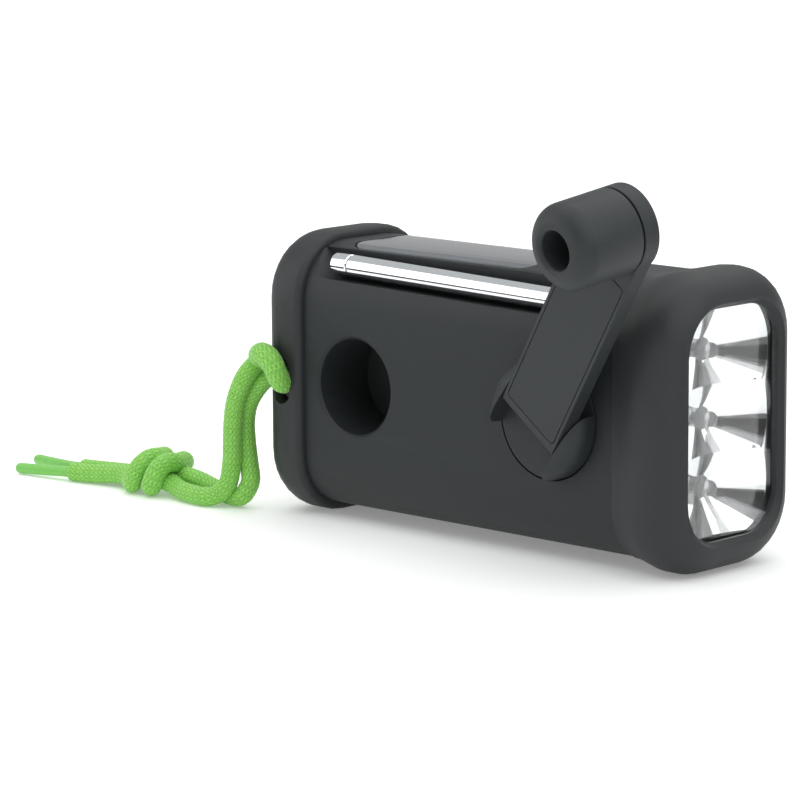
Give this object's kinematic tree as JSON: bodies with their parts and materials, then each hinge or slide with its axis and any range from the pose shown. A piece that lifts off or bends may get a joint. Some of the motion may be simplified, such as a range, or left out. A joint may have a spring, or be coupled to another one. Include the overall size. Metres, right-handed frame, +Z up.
{
  "type": "hand-cranked radio and torch",
  "caption": "Pocket hand-cranked radio with a three-lamp torch end, solar panel, folding crank, telescopic antenna and wrist cord.",
  "frame": {"origin": "on the standing plane, under the middle of the housing", "axes": "+X along the length towards the torch end, -Y is the front face with the crank, +Z up"},
  "size_m": [0.1958, 0.0713, 0.0802],
  "materials": {
    "housing": "soft-touch charcoal, fine moulded grain",
    "controls": "moulded, satin",
    "lens": "clear, polished",
    "reflector": "vacuum metallised",
    "circuit_board": "solder mask",
    "solar_cell": "dark cell under resin",
    "solar_cover": "clear resin cover",
    "antenna": "bright plated",
    "steel": "plain",
    "brass": "turned",
    "gear": "natural acetal",
    "battery": "shrink sleeve",
    "black_plastic": "moulded",
    "paper": "pressed paper",
    "copper": "enamelled wire",
    "cord": "braided polyester"
  },
  "bodies": {
    "root": {"front_shell": "housing", "back_shell": "housing", "left_bumper": "housing", "right_bumper": "housing", "lamp_lens": "lens", "lamps": "lens", "reflector": "reflector", "lamp_board": "circuit_board", "main_board": "circuit_board", "solar_cell": "solar_cell", "solar_cover": "solar_cover", "antenna_stud": "antenna", "antenna_pin": "antenna", "gear_axle": "steel", "gear_plate": "steel", "plate_screws": "steel", "generator": "steel", "board_screws": "steel", "speaker_frame": "steel", "speaker_magnet": "steel", "case_screws": "steel", "band_switch": "steel", "hub_bush": "brass", "tuning_capacitor": "gear", "battery_pack": "battery", "volume_pot": "black_plastic", "lamp_switch": "black_plastic", "ferrite_rod": "black_plastic", "speaker_cone": "paper", "rod_coil": "copper", "lanyard_hitch": "cord", "lanyard_strands": "cord", "lanyard_knot": "cord", "lanyard_tails": "cord"},
    "crank": {"crank_hub": "housing", "crank_hinge_pin": "steel", "drive_gear": "gear", "shaft_clip": "steel"},
    "arm": {"crank_arm": "housing", "arm_plate": "housing", "knob_screw": "steel"},
    "knob": {"crank_knob": "housing"},
    "idler": {"compound_gear": "gear"},
    "rotor": {"generator_pinion": "brass"},
    "antenna": {"antenna_knuckle": "antenna", "antenna_tube_1": "antenna"},
    "antenna_section_2": {"antenna_tube_2": "antenna"},
    "antenna_section_3": {"antenna_tube_3": "antenna"},
    "antenna_section_4": {"antenna_rod": "antenna", "antenna_tip": "antenna"},
    "tuning": {"tuning_dial": "controls"},
    "volume": {"volume_dial": "controls"},
    "band": {"band_slider": "controls"},
    "button": {"lamp_button": "controls"}
  },
  "joints": [
    {"name": "crank_turn", "type": "hinge", "parent": "root", "child": "crank", "pos_m": [0.0232, -0.0182, 0.0295], "axis": [0, 1, 0], "continuous": true},
    {"name": "crank_fold", "type": "hinge", "parent": "crank", "child": "arm", "pos_m": [0.0232, -0.02215, 0.0295], "axis": [0.7986, 0, -0.6018], "range_deg": [0, 168]},
    {"name": "knob_spin", "type": "hinge", "parent": "arm", "child": "knob", "pos_m": [0.05487, -0.03334, 0.07153], "axis": [-0.1251, -0.9781, -0.166], "continuous": true},
    {"name": "idler_turn", "type": "hinge", "parent": "root", "child": "idler", "pos_m": [0.0064, -0.005, 0.0295], "axis": [0, 1, 0], "continuous": true},
    {"name": "rotor_turn", "type": "hinge", "parent": "root", "child": "rotor", "pos_m": [0.00423, -0.003, 0.04181], "axis": [0, 1, 0], "continuous": true},
    {"name": "antenna_lift", "type": "hinge", "parent": "root", "child": "antenna", "pos_m": [0.0324, -0.0136, 0.0523], "axis": [-0.0068, -0.9659, -0.2587], "range_deg": [-110, 0]},
    {"name": "antenna_slide_2", "type": "slide", "parent": "antenna", "child": "antenna_section_2", "axis": [-0.9997, 0, 0.0262], "range_m": [0, 0.04]},
    {"name": "antenna_slide_3", "type": "slide", "parent": "antenna_section_2", "child": "antenna_section_3", "axis": [-0.9997, 0, 0.0262], "range_m": [0, 0.04]},
    {"name": "antenna_slide_4", "type": "slide", "parent": "antenna_section_3", "child": "antenna_section_4", "axis": [-0.9997, 0, 0.0262], "range_m": [0, 0.04]},
    {"name": "tuning_turn", "type": "hinge", "parent": "root", "child": "tuning", "pos_m": [0.024, 0.0182, 0.0364], "axis": [0, 1, 0], "range_deg": [0, 180]},
    {"name": "volume_turn", "type": "hinge", "parent": "root", "child": "volume", "pos_m": [0.0286, 0.0182, 0.0206], "axis": [0, 1, 0], "range_deg": [0, 300]},
    {"name": "band_slide", "type": "slide", "parent": "root", "child": "band", "axis": [1, 0, 0], "range_m": [0, 0.005]},
    {"name": "button_press", "type": "slide", "parent": "root", "child": "button", "axis": [0, -1, 0], "range_m": [0, 0.001], "stiffness_N_per_m": 300}
  ],
  "couplings": [
    {"joint": "idler_turn", "follows": "crank_turn", "ratio": -3.6667},
    {"joint": "rotor_turn", "follows": "crank_turn", "ratio": 14.667},
    {"joint": "antenna_slide_2", "follows": "antenna_lift", "m_per_rad": -0.020835},
    {"joint": "antenna_slide_3", "follows": "antenna_lift", "m_per_rad": -0.020835},
    {"joint": "antenna_slide_4", "follows": "antenna_lift", "m_per_rad": -0.020835}
  ]
}
